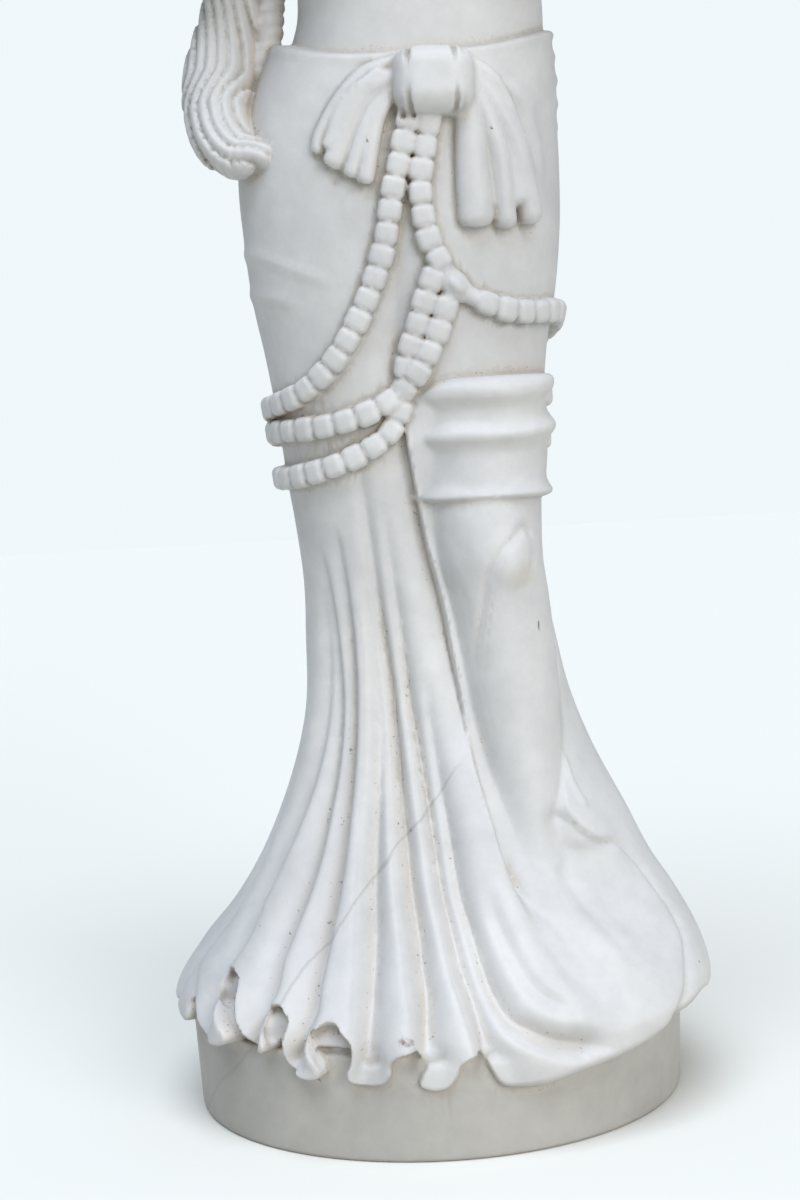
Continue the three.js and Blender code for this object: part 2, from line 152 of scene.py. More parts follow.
def tube(stations, k=4.0, steps=None, across=(0, 0, 1), relief=None, remove=False):
    """Tube of elliptic section along a path; stations are x, y, z, half width, half thickness. The relief is given the
    place across, the place outward and the length left to the end."""
    rows = [list(s) + [s[3]] * (5 - len(s)) for s in stations]
    line = path(rows, steps or 5 * (len(rows) - 1))
    length = np.r_[0, np.cumsum(np.linalg.norm(np.diff(line[:, :3], axis=0), axis=1))]
    reach = line[:, 3:5].max() + 3 * k + 2 * PITCH
    whole, X, Y, Z = window(line[:, :3].min(0) - reach, line[:, :3].max(0) + reach)
    shape = (Z.shape[0], Y.shape[1], X.shape[2])
    best = np.full(shape, 1e3)
    data = np.zeros((3,) + shape) if relief else None
    for i in range(len(line) - 1):
        a, b = line[i], line[i + 1]
        near = max(a[3:5].max(), b[3:5].max()) + 3 * k + 2 * PITCH
        low, high = np.minimum(a, b)[:3] - near, np.maximum(a, b)[:3] + near
        ix = slice(*np.searchsorted(X[0, 0], [low[0], high[0]]))
        iy = slice(*np.searchsorted(Y[0, :, 0], [low[1], high[1]]))
        iz = slice(*np.searchsorted(Z[:, 0, 0], [low[2], high[2]]))
        run = b[:3] - a[:3]
        size = np.linalg.norm(run)
        along = run / size
        wide = np.asarray(across, float) - along * np.dot(across, along)
        wide /= np.linalg.norm(wide)
        thin = np.cross(along, wide)
        px, py, pz = X[:, :, ix] - a[0], Y[:, iy] - a[1], Z[iz] - a[2]
        s = px * along[0] + py * along[1] + pz * along[2]
        u = px * wide[0] + py * wide[1] + pz * wide[2]
        v = px * thin[0] + py * thin[1] + pz * thin[2]
        t = np.clip(s / size, 0, 1)
        w = a[3] + (b[3] - a[3]) * t
        h = a[4] + (b[4] - a[4]) * t
        over = s - t * size
        m = np.minimum(w, h)
        k0 = np.sqrt((u / w) ** 2 + (v / h) ** 2 + (over / m) ** 2) + 1e-6
        k1 = np.sqrt((u / w**2) ** 2 + (v / h**2) ** 2 + (over / m**2) ** 2) + 1e-9
        d = k0 * (k0 - 1) / k1
        spot = (iz, iy, ix)
        closer = d < best[spot]
        best[spot] = np.where(closer, d, best[spot])
        if relief:
            for n, value in enumerate((u, v, length[-1] - length[i] - t * size)):
                data[n][spot] = np.where(closer, value, data[n][spot])
    if relief:
        best = best - relief(*data)
    (cut if remove else join)(whole, best, k)


def stone(centre, along, outward, half, rounding, k):
    """A rounded bead: half sizes along the string, across it and outward."""
    along = along / np.linalg.norm(along)
    outward = outward - along * np.dot(outward, along)
    outward /= np.linalg.norm(outward)
    side = np.cross(along, outward)
    reach = max(half) + 3 * k + PITCH
    part, X, Y, Z = window(centre - reach, centre + reach)
    q = [
        np.abs((X - centre[0]) * a[0] + (Y - centre[1]) * a[1] + (Z - centre[2]) * a[2]) - (s - rounding)
        for a, s in zip((along, side, outward), half)
    ]
    outer = np.sqrt(sum(np.maximum(p, 0) ** 2 for p in q))
    join(part, outer + np.minimum(np.maximum(np.maximum(q[0], q[1]), q[2]), 0) - rounding, k)


def section(edges, degrees):
    """Radius of a rounded section from its left, right, front and back edge."""
    left, right, front, back = (edges[..., i] for i in range(4))
    depth = np.where(np.abs(degrees) < 90, -front, back)
    a = np.abs(np.sin(np.radians(degrees)) / ((right - left) / 2)) ** 2.25
    b = np.abs(np.cos(np.radians(degrees)) / depth) ** 2.25
    return (a + b) ** (-1 / 2.25)


DEG = np.linspace(-180, 180, 1081)


def radial(heights, centre, radius, low=None, high=None, trim=None, k=4.0, edge=5.0, remove=False):
    """Joins a body given by its radius (rows: the grid's heights, columns: DEG) about a vertical curve of centres."""
    step = np.radians(DEG[1] - DEG[0])
    dz = np.gradient(radius, heights, axis=0)
    da = np.gradient(radius, step, axis=1) / radius
    slant = 1 / np.sqrt(1 + np.minimum(dz**2 + da**2, 6.0))
    first = np.searchsorted(zs, heights[0] - 0.01)
    reach = radius.max() + 30
    for i, z in enumerate(heights):
        cx, cy = centre[i]
        part, X, Y, _ = window((cx - reach, cy - reach, z), (cx + reach, cy + reach, z))
        part = (slice(first + i, first + i + 1), part[1], part[2])
        x, y = X[0] - cx, Y[0] - cy
        angle = np.degrees(np.arctan2(x, -y))
        r = np.hypot(x, y)
        d = (r - np.interp(angle, DEG, radius[i])) * np.interp(angle, DEG, slant[i])
        rounding = np.interp(angle, DEG, edge) if isinstance(edge, np.ndarray) else edge
        if trim is not None and np.max(trim[i]) > -50:
            d = both(d, np.interp(angle, DEG, trim[i]), rounding)
        if low is not None:
            d = both(d, (np.interp(angle, DEG, low) - z) * 0.8, rounding)
        if high is not None:
            d = both(d, (z - np.interp(angle, DEG, high)) * 0.9, 4.0 if trim is not None else rounding)
        (cut if remove else join)(part, d[None], k)


def rows_between(low, high):
    return zs[(zs >= low) & (zs <= high)]


# ---------------------------------------------------------------- the skirt
# Outer body: height, left, right, front and back edge.
SKIRT = [
    [50, -240, 252, -248, 242], [70, -246, 258, -252, 246], [90, -255, 266, -256, 256], [115, -259, 272, -256, 262],
    [150, -240, 263, -232, 245], [190, -207, 243, -199, 217], [230, -180, 219, -172, 192], [280, -155, 197, -146, 166],
    [340, -133, 170, -120, 138], [400, -119, 150, -104, 116], [460, -112, 138, -97, 102], [520, -110, 128, -95, 94],
    [580, -115, 129, -97, 89], [620, -120, 133, -100, 88], [680, -126, 138, -104, 91], [740, -134, 144, -108, 98],
    [800, -144, 156, -112, 110], [860, -149, 163, -115, 124], [915, -151, 165, -116, 130], [960, -146, 165, -114, 126],
    [1000, -132, 166, -111, 113], [1050, -108, 163, -103, 94], [1090, -92, 162, -98, 86],
]

zr = rows_between(52, 1064)
sec = curve(SKIRT, zr)
centre_x = (sec[:, 0] + sec[:, 1]) / 2
base = section(sec[:, None, :], DEG[None, :])
A, Z2 = np.meshgrid(DEG, zr)
surface = np.stack([centre_x[:, None] + base * np.sin(np.radians(A)), -base * np.cos(np.radians(A)), Z2], -1)


def base_point(degrees, z, out=0.0):
    edges = curve(SKIRT, z)
    r = section(edges, degrees) + out
    x = (edges[..., 0] + edges[..., 1]) / 2 + r * np.sin(np.radians(degrees))
    return np.stack(np.broadcast_arrays(x, -r * np.cos(np.radians(degrees)), z), -1)


def trace(points, reach=50.0, parts=5):
    """Distance over the skirt's surface to a line through points of angle and height, how far along it the nearest
    point is (0 to 1), and its side: -1 to the left when looking at it with the line running down, 1 to the right."""
    line = through(points, parts * (len(points) - 1) + 1)
    dist = np.full(base.shape, 1e3)
    where = np.zeros(base.shape)
    side = np.ones(base.shape)
    for i in range(len(line) - 1):
        (a0, z0), (a1, z1) = line[i], line[i + 1]
        r0, r1 = np.searchsorted(zr, [min(z0, z1) - reach, max(z0, z1) + reach])
        spread = math.degrees(reach / 95)
        c0, c1 = np.searchsorted(DEG, [min(a0, a1) - spread, max(a0, a1) + spread])
        spot = (slice(r0, r1), slice(c0, c1))
        p = surface[spot]
        if p.size == 0:
            continue
        s = base_point(a0, z0)
        run = base_point(a1, z1) - s
        t = np.clip(((p - s) @ run) / (run @ run), 0, 1)
        d = np.linalg.norm(p - s - t[..., None] * run, axis=-1)
        closer = d < dist[spot]
        dist[spot] = np.where(closer, d, dist[spot])
        where[spot] = np.where(closer, (i + t) / (len(line) - 1), where[spot])
        turned = (A[spot] - a0) * (z1 - z0) - (Z2[spot] - z0) * (a1 - a0)
        side[spot] = np.where(closer, -np.sign(turned), side[spot])
    return dist, where, side


# Valleys of the front folds, from where they die out down to the hem. Depth at the hem, how wide each opens to the
# left and to the right, then angle and height. The cloth drops sharply on one side and climbs slowly on the other.
VALLEYS = [
    [19, 16, 6, (-60, 520), (-62.5, 330), (-64.7, 236), (-63.5, 205), (-62, 180), (-61, 160), (-59, 140), (-57, 120)],
    [28, 17, 5, (-57, 560), (-54, 409), (-52, 320), (-49, 243), (-48, 200), (-46.5, 175), (-43, 148), (-42.5, 105)],
    [29, 16, 5, (-46, 580), (-45, 409), (-42.5, 316), (-38.8, 245), (-36.2, 195), (-33, 159), (-30.7, 132), (-32, 96)],
    [29, 5, 17, (-36, 540), (-33.5, 400), (-31, 300), (-27.9, 246), (-23.3, 191), (-20, 157), (-17.8, 123), (-17, 70)],
    [32, 5, 18, (-31, 660), (-30.5, 506), (-30, 457), (-25, 350), (-16.3, 246), (-9.2, 173), (-5.9, 139), (-3.8, 66)],
    [29, 5, 17, (-20, 600), (-19.3, 495), (-17.7, 415), (-12, 340), (-5.4, 245), (0.6, 179), (6.2, 130), (9.6, 66)],
    [24, 5, 14, (-6, 430), (-4, 351), (1.2, 244), (4.3, 203), (7.3, 172), (10.2, 146), (13.4, 125), (17.6, 114),
     (22.7, 103), (28, 96)],
]
# Folds behind are regular: how many, where the first starts and how many degrees each takes.
BACK_FOLDS, BACK_START, BACK_STEP = 11, 102, 196 / 11
BACK = [BACK_START + BACK_STEP * i for i in range(BACK_FOLDS)]

# The hem's lower edge, a ribbon that rises over the open end of each fold and hangs down between them, turns under a
# rolled rim round the foot and runs in shallow scallops behind. Where it doubles back, the cloth overhangs.
HEM = [
    [-180, 97], [-120, 99], [-88, 106], [-80, 112], [-74, 110], [-69, 106], [-66.5, 109], [-66.5, 118], [-67.5, 126],
    [-65.5, 128], [-63, 121], [-60, 109], [-56.5, 101], [-52.8, 98], [-49.5, 104], [-49.8, 114], [-54.5, 128],
    [-60, 146], [-60.5, 156], [-58, 161], [-54.5, 160], [-52.5, 154], [-50.5, 140], [-47.5, 121], [-45, 108],
    [-41.8, 100], [-39, 103], [-38.8, 112], [-41.2, 128], [-41.8, 136], [-40, 140], [-37, 137], [-35.2, 129],
    [-35.4, 112], [-35, 92], [-32, 83.5], [-28.5, 81], [-26.2, 86], [-26.8, 97], [-29.2, 112], [-29.5, 121],
    [-27.5, 127], [-25, 128], [-22, 124], [-20, 114], [-19.8, 100], [-20.8, 85], [-19, 76.5], [-16.5, 74],
    [-13.8, 77], [-12, 86], [-11.8, 96], [-10.5, 103], [-8, 106], [-5.8, 101], [-4.6, 92], [-6.5, 80], [-5.5, 72],
    [-3, 69], [-0.3, 72], [1.6, 82], [2.6, 93], [4.2, 99], [6, 100], [7.8, 95], [9, 84], [10.4, 73], [13, 67],
    [20, 66], [26, 72], [31, 76], [39, 82], [47, 90], [53, 100], [60, 104], [67, 110], [75, 106], [100, 98], [180, 97],
]


HEM_FRONT = (-90, 98)  # from here to there the hem follows its table, and behind it has scallops
HEM_BEHIND, SCALLOP = 97.0, 11
front_line = through(HEM, 6 * (len(HEM) - 1) + 1)
hem_line = np.array(
    [(a, np.interp(a, *front_line.T)) for a in np.linspace(-180, HEM_FRONT[0], 70)]
    + [row for row in front_line.tolist() if HEM_FRONT[0] < row[0] < HEM_FRONT[1]]
    + [(a, HEM_BEHIND) for a in np.linspace(HEM_FRONT[1], 180, 70)]
)
hem_angle = hem_line[:, 0]
scallops = np.abs(np.sin(np.pi * ((hem_angle % 360) - BACK_START) / BACK_STEP)) ** 1.5
scallops *= ease(98, 106, np.abs(hem_angle)) * ((hem_angle > HEM_FRONT[1]) | (hem_angle < HEM_FRONT[0]))
hem_line[:, 1] += SCALLOP * scallops
hem_gap = trace(hem_line, 34.0, 1)[0]
passed = np.zeros(base.shape, int)  # how often the hem's line passes above each point: an odd number is below the cloth
for (a0, z0), (a1, z1) in zip(hem_line[:-1], hem_line[1:]):
    c0, c1 = np.searchsorted(DEG, sorted((a0, a1)))
    line_z = z0 + (z1 - z0) * (DEG[c0:c1] - a0) / (a1 - a0 + 1e-9)
    passed[:, c0:c1] += zr[:, None] < line_z
above_hem = np.minimum(hem_gap, 60) * np.where(passed % 2, -1, 1)
edge_near = np.exp(-np.maximum(above_hem, 0) / 16)

dent = -5 * ease(420, 200, Z2) + 5 * bell(A, -90, 18) * ease(130, 200, Z2) * ease(480, 380, Z2)
for depth, left, right, *points in VALLEYS:
    dist, where, side = trace(points)
    top = points[0][1]
    grow = np.clip((top - Z2) / (top - 100), 0, 1) ** 0.75
    opening = (0.3 + 0.7 * grow) * np.where(side < 0, left, right)
    sharp = np.exp(-np.maximum(np.hypot(dist, 2.2) - 1.2, 0) / opening)
    broad = np.exp(-((dist / (1.1 * opening + 3)) ** 2))
    dent += depth * grow * (0.6 * sharp + 0.45 * broad) * (1 - 0.3 * edge_near)
for n, angle in enumerate(BACK):
    top = 400 + 50 * (n % 2)
    grow = np.clip((top - Z2) / (top - 100), 0, 1)
    dist = np.abs(np.radians(turn(A - angle))) * base
    dent += 14 * grow * np.exp(-dist / (5 + 6 * grow)) * (1 - 0.4 * edge_near)
dist, where, side = trace([(-86, 185), (-78, 160), (-70, 142), (-66, 130), (-64, 118)])
dent += 4 * np.exp(-dist / np.where(side < 0, 9, 3)) * ease(0, 0.3, where)

# the cloth swells a little towards its edge
dent -= 3.5 * np.exp(-np.maximum(above_hem, 0) / 7) * ease(-70, -58, A) * ease(75, 55, A)

# The slit: shaded hollow on its left, and the leg, which swells out of it, on its right.
SLIT = [[90, 30], [150, 26], [223, 20.7], [267, 17.3], [312, 15.7], [358, 14], [406, 13.5], [454, 11], [502, 9.2],
        [551, 4], [600, 0], [658, -4.5]]
CREASE = [[90, 50], [108, 51.5], [125, 57.5], [140, 61.3], [158, 66], [180, 68.3], [205, 67.5], [233, 66], [253, 61],
          [266, 54], [284, 48], [303, 47], [348, 55], [394, 66], [449, 79], [529, 86]]
HOLLOW = [[330, 4], [380, 10], [450, 14], [520, 17], [580, 18], [640, 16], [700, 12], [780, 8], [850, 3], [930, 0]]
FLOOR = [[90, 0], [110, 4], [135, 9], [160, 15], [190, 20], [220, 23], [250, 23], [300, 18], [360, 11], [420, 5],
         [500, 3], [600, 3], [660, 0]]
slit = curve(SLIT, zr)
crease = curve(CREASE, zr)
gap = np.minimum(slit - A, 0) * ease(600, 660, Z2) + np.maximum(slit - A, 0)
hollow = curve(HOLLOW, zr) * np.where(A < slit, np.exp(-((np.maximum(gap, 0) / 14) ** 1.3)),
                                      np.exp(-((np.maximum(A - slit, 0) / 9) ** 1.3)) * ease(600, 660, Z2))
dent += hollow * ease(326, 380, Z2)

LEG = [[150, 122, -128, 22, 28], [170, 120, -132, 24, 30], [215, 106, -112, 24, 32], [250, 100, -92, 30, 38],
       [300, 97, -78, 38, 44], [350, 92, -68, 44, 50], [400, 88, -62, 48, 55], [450, 84, -60, 50, 57],
       [500, 79, -62, 51, 58], [540, 73, -64, 53, 60], [600, 69, -55, 59, 62], [660, 68, -48, 62, 64]]
leg = curve(LEG, np.clip(zr, 150, 660))
lx, ly, lw, lh = (leg[:, i : i + 1] for i in range(4))
lw, lh = lw * 1.01, lh * 1.01
sine, cosine = np.sin(np.radians(A)), np.cos(np.radians(A))
qa = (sine / lw) ** 2 + (cosine / lh) ** 2
qb = sine * (centre_x[:, None] - lx) / lw**2 + cosine * ly / lh**2
qc = ((centre_x[:, None] - lx) / lw) ** 2 + (ly / lh) ** 2 - 1
disc = qb**2 - qa * qc
shank = (-qb + np.sqrt(np.maximum(disc, 0)) - 3 * np.sqrt(np.maximum(-disc, 0))) / qa
round_leg = np.degrees(np.arctan2(centre_x[:, None] + shank * sine - lx, shank * cosine + ly))
cap = np.hypot((round_leg - 22 - 0.3 * (Z2 - 541)) / 21, (Z2 - 541) / 29)
shank = shank + 3.5 * np.clip(1.06 - cap**2, 0, 1) ** 0.7 + 2.5 * bell(Z2, 556, 42) * bell(round_leg, 14, 30)


def on_leg(points, reach=14.0):
    """Distance over the leg to a line through points of angle round the leg and height."""
    best = np.full(base.shape, reach)
    line = through(points, 4 * len(points))
    for (a0, z0), (a1, z1) in zip(line[:-1], line[1:]):
        r0, r1 = np.searchsorted(zr, [min(z0, z1) - reach, max(z0, z1) + reach])
        a, z = round_leg[r0:r1] - a0, Z2[r0:r1] - z0
        da, dz = (a1 - a0) * 0.95, z1 - z0
        t = np.clip((a * 0.95 * da + z * dz) / (da * da + dz * dz), 0, 1)
        best[r0:r1] = np.minimum(best[r0:r1], np.hypot(a * 0.95 - t * da, z - t * dz))
    return best


incised = on_leg([(44, 564), (36, 569), (24, 561), (10, 548), (0, 532), (-8, 516), (-16, 492), (-24, 468), (-35, 434)])
shank = shank - 3.6 * np.exp(-((incised / 2.8) ** 2)) * ease(430, 480, Z2) - 1.5 * np.exp(-incised / 9)
shank = shank - 2.0 * bell(round_leg, -24, 9) * bell(Z2, 540, 16)
reach_in = 2 + 18 * ease(320, 235, Z2)
reach_left = 1.0 + 7 * ease(240, 180, Z2)
floor_in = curve(FLOOR, zr) * ease(0, reach_in, crease - A) * ease(-1.0, reach_left, A - slit)
floor_in = base - dent - floor_in + hollow * ease(326, 380, Z2) * (A > slit)
share = np.clip(0.5 + 0.5 * (shank - floor_in) / 9, 0, 1)
swell = floor_in + (shank - floor_in) * share + 9 * share * (1 - share)
mask = ease(-0.9, 1.1, A - slit) * ease(-2, 2, crease - A) * ease(710, 650, Z2) * ease(140, 175, Z2)
skirt = (base - dent) * (1 - mask) + swell * mask
below = (1 - ease(140, 175, Z2)) * (A > slit) * (A < crease)
skirt -= below * curve(FLOOR, zr) * ease(0, reach_in, crease - A) * ease(-1.0, reach_left, A - slit)
skirt += 15 * bell(Z2, 175, 40) * bell(A, 33 + (215 - Z2) * 0.19, 8)

# thin worn lip along the slit
dist, where, side = trace([(-4.5, 658), (0, 600), (4, 551), (9.5, 502), (13.6, 406), (15.6, 312), (17.5, 267),
                           (20.5, 224)])
skirt += 1.8 * bell(dist * side, 1.5, 2.6) * ease(1.0, 0.9, where)

# soft grooves round the foot, and the hollow beside the instep
for depth, width, points in [
    (7, 9, [(17, 263), (20, 241), (22, 213), (24, 187), (28, 161), (33, 144)]),
    (7, 8, [(10, 251), (12, 209), (15, 178), (19, 151), (24, 136), (31, 128)]),
    (4, 11, [(40, 251), (41, 233), (42, 204), (44, 170), (45, 147)]),
]:
    dist, where, side = trace(points)
    skirt -= depth * np.exp(-((dist / width) ** 2)) * ease(0, 0.25, where) * ease(1.0, 0.7, where)

# crease between the cloth over the foot and the cloth behind it, and the pocket above it
dist, where, side = trace([(53, 262), (61.3, 253), (66.2, 233), (67.6, 205), (68.3, 180), (66, 158), (61.3, 140),
                           (57.7, 125), (54.2, 113), (51.8, 104)])
skirt -= 8 * np.exp(-dist / np.where(side < 0, 4, 7)) * ease(0, 0.12, where)
dist, where, side = trace([(44.5, 288), (47, 278), (49, 271), (53.6, 261), (61.3, 253)])
skirt -= 7 * np.exp(-dist / np.where(side < 0, 9, 3.0)) * ease(1.0, 0.8, where)
dist, where, side = trace([(53, 350), (53.2, 336), (52.1, 320), (52.5, 304), (54.5, 292)])
skirt += 3.5 * bell(dist * side, 1, 3.5) * ease(0, 0.2, where) * ease(1, 0.8, where)

# faint folds on the hips, the lip of the skirt's top edge and the knobs on the right hip
dist, where, side = trace([(33, 1007), (55, 976), (62, 944), (64.5, 906), (65, 872)])
skirt += 2.6 * bell(dist * side, -4, 7) * ease(1.0, 0.7, where)
for points in ([(-95, 846), (-70, 842), (-45, 820), (-30, 806)], [(-95, 806), (-70, 803), (-45, 790)]):
    dist, where, side = trace(points)
    skirt += 2.0 * bell(dist, 0, 6) * ease(1.0, 0.7, where)
waist = 1020 + 26 * np.abs(np.sin(np.radians(DEG))) ** 4
skirt += 1.6 * bell(Z2, waist - 4, 4)
skirt += 2.4 * np.maximum(np.sin(2 * np.pi * (Z2 - 4) / 23), 0) * bell(A, 90, 9) * ease(945, 962, Z2)

# between the folds the cloth spreads over the plinth's edge
flare = 253.0 - np.maximum(Z2 - 92, 0)
skirt = -blend(-skirt, -flare, 9.0)


def skirt_point(degrees, z, out=0.0):
    """Point on the carved skirt at an angle and height, and the smooth outward normal there."""
    z = float(z)
    row = np.clip(np.searchsorted(zr, z) - 1, 0, len(zr) - 2)
    t = (z - zr[row]) / PITCH
    r = (1 - t) * np.interp(degrees, DEG, skirt[row]) + t * np.interp(degrees, DEG, skirt[row + 1])
    edges = curve(SKIRT, np.array(z))
    cx = (edges[0] + edges[1]) / 2
    p = np.array([cx + r * math.sin(math.radians(degrees)), -r * math.cos(math.radians(degrees)), z])
    da = base_point(degrees + 1.5, z) - base_point(degrees - 1.5, z)
    dz = base_point(degrees, z + 6) - base_point(degrees, z - 6)
    normal = np.cross(da, dz)
    normal /= np.linalg.norm(normal)
    return p + normal * out, normal


for _ in range(2):
    skirt[1:-1] = (skirt[:-2] + 2 * skirt[1:-1] + skirt[2:]) / 4
    skirt[:, 1:-1] = (skirt[:, :-2] + 2 * skirt[:, 1:-1] + skirt[:, 2:]) / 4
rim = 4.5 + 10 * ease(8, 20, DEG) * ease(72, 60, DEG)
axis = np.column_stack([centre_x, 0 * zr])
radial(zr, axis, skirt, trim=-above_hem, high=waist, k=1.0, edge=rim)

# the stone behind the cloth's open ends, which stays inside the plinth's wall further down
PLINTH_RADIUS, PLINTH_TOP, CLOTH = 243, 100, 13
core = (zr > 84) & (zr < 190)
inner = np.minimum(skirt[core], base[core]) - CLOTH
radial(zr[core], axis[core], np.where(Z2[core] < PLINTH_TOP + 8, np.minimum(inner, PLINTH_RADIUS), inner), k=3.0)

# ---------------------------------------------------------------- the plinth
part, X, Y, Z = window((-262, -262, -9), (262, 262, 110))
wall = np.hypot(X, Y) - (PLINTH_RADIUS + 4 * np.clip(Z / PLINTH_TOP, 0, 1))
join(part, both(both(wall, Z - PLINTH_TOP, 3.0), -Z, 5.0), 2.5)


def hollow_out(angle, height, low, high, k):
    """Carves a short upright hollow behind the skirt's surface: low and high are its ends, each a depth, a height, a
    half width and a half thickness."""
    p, normal = skirt_point(angle, height)
    outward = normal * np.array([1, 1, 0])
    outward /= np.linalg.norm(outward)
    ends = [[*(p - outward * depth)[:2], z, wide, thick] for depth, z, wide, thick in (low, high)]
    tube(ends, k=k, across=np.cross(outward, (0, 0, 1)), remove=True)


# Hollows inside the open ends of the front folds: angle, height, half width.
HOLLOWS = [[-66, 119, 5], [-57, 148, 12], [-38.5, 128, 11], [-24.5, 116, 14], [-8.2, 97, 11], [5.2, 91, 10]]
for angle, height, half in HOLLOWS:
    hollow_out(angle, height, (13, height + 6, half * 0.8, half * 0.8), (11, height - 14, half, half * 0.7), 4.0)
for n in range(BACK_FOLDS):
    hollow_out(float(turn(BACK_START + BACK_STEP * (n + 0.5))), 100, (6, 88, 11, 9), (10, 100, 9, 8), 5.0)

# ---------------------------------------------------------------- the cloth rolled up on the thigh
ROLL = [[590, -6], [594, 3], [598, 11], [602, 13], [607, 10], [616, 6], [640, 4], [650, 8], [656, 12.5], [662, 13],
        [668, 9], [674, 5.5], [684, 5], [690, 8], [696, 12.5], [704, 13.5], [710, 10], [716, 3], [722, -6]]
rows = rows_between(588, 726)
AL, ZL = np.meshgrid(DEG, rows)
tilt = 3.5 * np.cos(np.radians(AL + 70)) + 1.5 * np.sin(np.radians(3 * AL))
out = curve(ROLL, ZL + tilt * ease(612, 660, ZL))[..., 0]
out = out - 6 * bell(AL, 90, 38) * ease(640, 605, ZL)
roll = section(np.array([-63.0, 63.0, -62.0, 62.0]), DEG)[None, :] + out
radial(rows, np.tile([70.0, -46.0], (len(rows), 1)), roll, low=np.full(len(DEG), 595.0), high=np.full(len(DEG), 714.0),
       k=2.5, edge=4.0)

# ---------------------------------------------------------------- strings of beads
STRINGS = [
    [(5.5, 965), (1.3, 927), (-3, 895), (-6, 868), (-9, 841), (-15.4, 805), (-24, 769), (-35.5, 735), (-49, 712),
     (-61, 702), (-82, 695), (-130, 688), (-180, 702), (-230, 736), (-272, 773), (-304, 774), (-318, 779),
     (-332, 793), (-341.3, 816), (-348.3, 845), (-350.5, 869), (-351, 899), (-348.4, 926), (-345.7, 960)],
    [(14.4, 817), (10.7, 797), (7.3, 777), (3.9, 756), (-0.4, 733), (-2.7, 710), (-7, 685), (-12, 668), (-20, 655),
     (-34, 642), (-48, 633), (-66, 627), (-86, 626), (-130, 622), (-180, 628), (-230, 642), (-262, 652)],
    [(20, 790), (16.7, 767), (12.4, 746), (7.9, 729), (0.7, 712), (-8.3, 700), (-16.8, 690), (-29, 681), (-44, 675),
     (-58, 673), (-83.5, 671), (-130, 664), (-180, 670), (-230, 686), (-262, 694)],
]
BEAD = 21.5
MEDALLION = (23.4, 800)
medal, medal_out = skirt_point(*MEDALLION, 5.0)
for string in STRINGS:
    spots = [skirt_point(float(turn(a)), z, 4.5) for a, z in through(string, 8 * len(string))]
    p = np.array([s[0] for s in spots])
    n = np.array([s[1] for s in spots])
    run = np.r_[0, np.cumsum(np.linalg.norm(np.diff(p, axis=0), axis=1))]
    count = round(run[-1] / BEAD)
    tube([[*at, 8.5, 7.5] for at in p[::4]], k=1.5, steps=len(p) // 3, across=(0.2, 0.1, 1))
    for i in range(count):
        mid = (i + 0.5) * run[-1] / count
        at = np.array([np.interp(mid, run, p[:, c]) for c in range(3)])
        if np.linalg.norm(at - medal) < 17:
            continue
        ahead = np.array([np.interp(mid + 4, run, p[:, c]) for c in range(3)])
        back = np.array([np.interp(mid - 4, run, p[:, c]) for c in range(3)])
        outward = np.array([np.interp(mid, run, n[:, c]) for c in range(3)])
        half = 0.525 * run[-1] / count
        stone(at, ahead - back, outward, (half, 11.6 + 0.5 * math.sin(2.3 * i), 9.8), 6.5, 0.8)
ellipsoid(medal, (18, 9.5, 13), k=1.5, axes=[(0.62, 0.1, -0.78), medal_out, (0.78, 0, 0.62)])
ellipsoid(medal + medal_out * 4.5, (11, 8, 7.5), k=1.0, axes=[(0.62, 0.1, -0.78), medal_out, (0.78, 0, 0.62)])


# ---------------------------------------------------------------- knot and hanging ends
def on_skirt(spots, sizes, out=5.0):
    return [[*skirt_point(a, z, out)[0], w, h] for (a, z), (w, h) in zip(spots, sizes)]


SHEETS = [
    [[(-8, 990), (-18, 967), (-24, 930)], [(19, 8), (22, 8), (23, 8)]],
    [[(30, 985), (38.5, 945), (42.5, 878)], [(16, 8), (24, 9), (35, 10)]],
]
PLEATS = [
    [[(-6, 1008), (-15.7, 1003), (-22, 994), (-28.5, 973), (-34, 946), (-35, 934)],
     [(6, 7), (7, 7), (7, 8), (7, 8), (7, 8), (7, 8)]],
    [[(-6, 992), (-14.7, 980), (-21, 958), (-27.8, 922)], [(11, 9), (12, 9), (12, 9), (12, 10)]],
    [[(-6, 983), (-12.1, 966), (-17.0, 939), (-21.4, 911)], [(7, 8), (7, 8), (7.5, 9), (8, 10)]],
    [[(-6, 974), (-9.6, 958), (-12.5, 933), (-15.2, 905)], [(6, 7), (7, 8), (8.5, 9), (9, 10)]],
    [[(28.5, 985), (31.2, 942), (31.7, 905), (32.4, 864)], [(10, 10), (14, 12), (16, 12), (17.5, 13)]],
    [[(29.5, 990), (38, 955), (42.6, 915), (44.3, 861)], [(8, 10), (10, 12), (11, 13), (11.5, 13)]],
    [[(30, 997), (42, 965), (49.8, 925), (54.8, 866)], [(9, 10), (10, 12), (12, 13), (13, 14)]],
    [[(29, 1004), (38, 991), (45.8, 967), (51, 936), (55.5, 905)], [(7, 9), (8, 9), (8, 9), (8, 9), (7, 9)]],
]
for spots, sizes in SHEETS:
    tube(on_skirt(spots, sizes, out=3.0), k=3.0, across=(1, 0.2, 0.35))
for spots, sizes in PLEATS:
    tube(on_skirt(spots, sizes), k=2.5, across=(1, 0.2, 0.35))
for spots, sizes in PLEATS[:7]:
    end, before = np.array(spots[-1], float), np.array(spots[-2], float)
    step = (end - before) / abs(end[1] - before[1])
    w, h = sizes[-1]
    tube(on_skirt([end - step * 3, end + step * 18], [(w * 0.5, h * 0.3), (w * 0.75, h * 0.5)], out=4.5), k=2.5,
         across=(1, 0.2, 0.35), remove=True)

